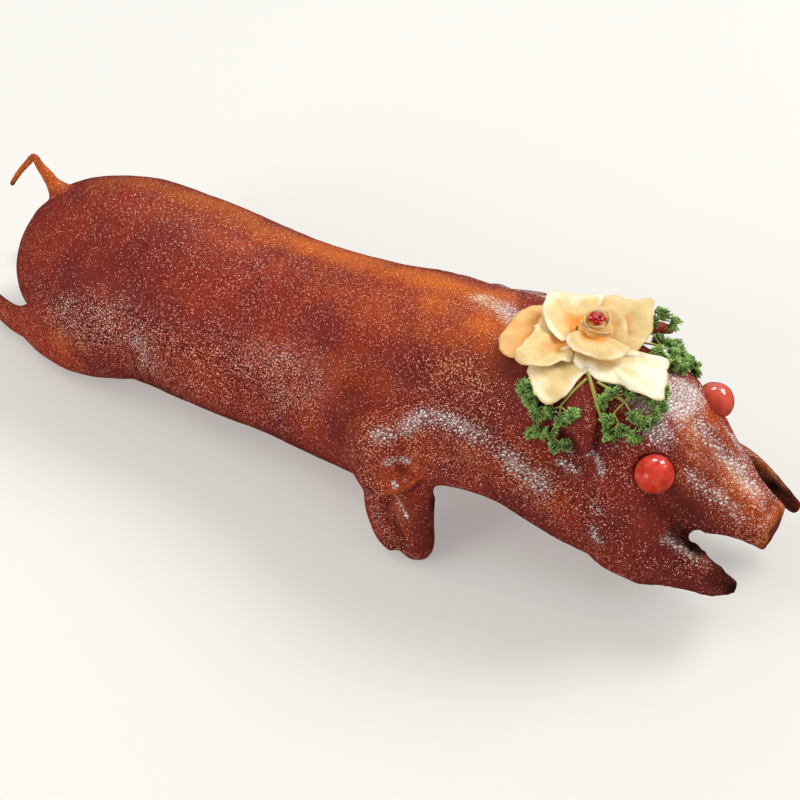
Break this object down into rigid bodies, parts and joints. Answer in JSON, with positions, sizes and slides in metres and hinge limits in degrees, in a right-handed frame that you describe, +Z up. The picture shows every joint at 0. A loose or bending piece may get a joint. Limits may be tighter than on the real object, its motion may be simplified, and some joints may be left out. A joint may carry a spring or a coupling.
{
  "type": "roast suckling pig",
  "caption": "Whole roast suckling pig lying belly down with folded forelegs and open mouth, dressed with a rose, parsley sprigs and glace cherry eyes.",
  "frame": {"origin": "centre of the bounding box's bottom face, on the surface the pig lies on", "axes": "+X towards the snout, +Y towards the pig's own left side, +Z up"},
  "size_m": [0.5468, 0.1718, 0.1637],
  "materials": {
    "roast_skin": "glazed, blistered crackling",
    "glace_cherry": "translucent gloss",
    "rose_petal": "waxy satin",
    "chopped_fruit": "wet",
    "parsley_leaf": "satin leaf"
  },
  "bodies": {
    "root": {"roast_pig": "roast_skin", "cherry_right": "glace_cherry", "cherry_left": "glace_cherry", "rose": "rose_petal", "rose_heart": "chopped_fruit", "parsley_right": "parsley_leaf", "parsley_front": "parsley_leaf", "parsley_left": "parsley_leaf"}
  },
  "joints": []
}
